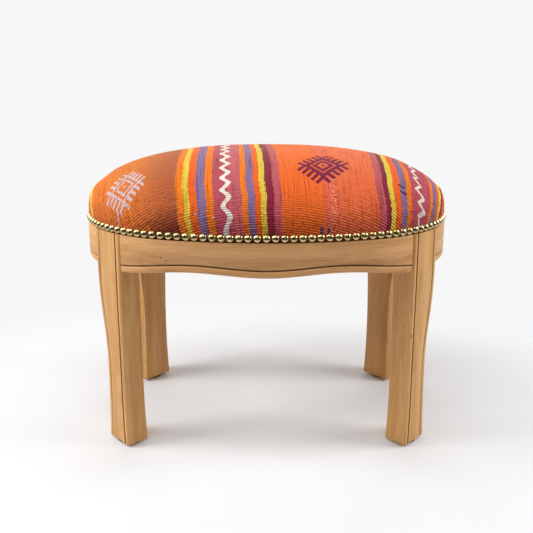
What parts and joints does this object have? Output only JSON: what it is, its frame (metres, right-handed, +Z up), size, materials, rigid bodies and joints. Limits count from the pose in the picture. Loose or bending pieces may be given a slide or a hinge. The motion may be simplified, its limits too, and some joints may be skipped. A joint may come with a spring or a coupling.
{
  "type": "kilim bench",
  "caption": "Low oval bench with a domed kilim seat edged in brass nails, on a bowed wooden frame with a serpentine beaded rail and waisted legs set across the corners.",
  "frame": {"origin": "centre of the bench's plan, on the floor under the glides", "axes": "+X along the bench's length, -Y towards its front, +Z up"},
  "size_m": [0.5644, 0.4034, 0.433],
  "materials": {
    "beech": "waxed, fine grain",
    "pine": "raw, planed",
    "glide_plastic": "matte",
    "jute": "woven strap",
    "hessian": "open plain weave",
    "foam": "open-cell foam",
    "wadding": "fibre fill",
    "kilim_wool": "flat-woven wool",
    "brass": "antiqued",
    "steel": "plain"
  },
  "bodies": {
    "root": {"front_rail": "beech", "rear_rail": "beech", "left_rail": "beech", "right_rail": "beech", "leg_front_left": "beech", "corner_block_front_left": "pine", "glide_front_left": "glide_plastic", "leg_front_right": "beech", "corner_block_front_right": "pine", "glide_front_right": "glide_plastic", "leg_rear_left": "beech", "corner_block_rear_left": "pine", "glide_rear_left": "glide_plastic", "leg_rear_right": "beech", "corner_block_rear_right": "pine", "glide_rear_right": "glide_plastic", "rail_dowels": "pine", "webbing_long_1": "jute", "webbing_long_2": "jute", "webbing_long_3": "jute", "webbing_cross_1": "jute", "webbing_cross_2": "jute", "webbing_cross_3": "jute", "webbing_cross_4": "jute", "webbing_cross_5": "jute", "hessian": "hessian", "foam_pad": "foam", "wadding": "wadding", "kilim_cover": "kilim_wool", "cover_nails": "brass", "block_rail_screws": "steel", "block_leg_screws": "steel", "webbing_tacks": "steel"}
  },
  "joints": []
}
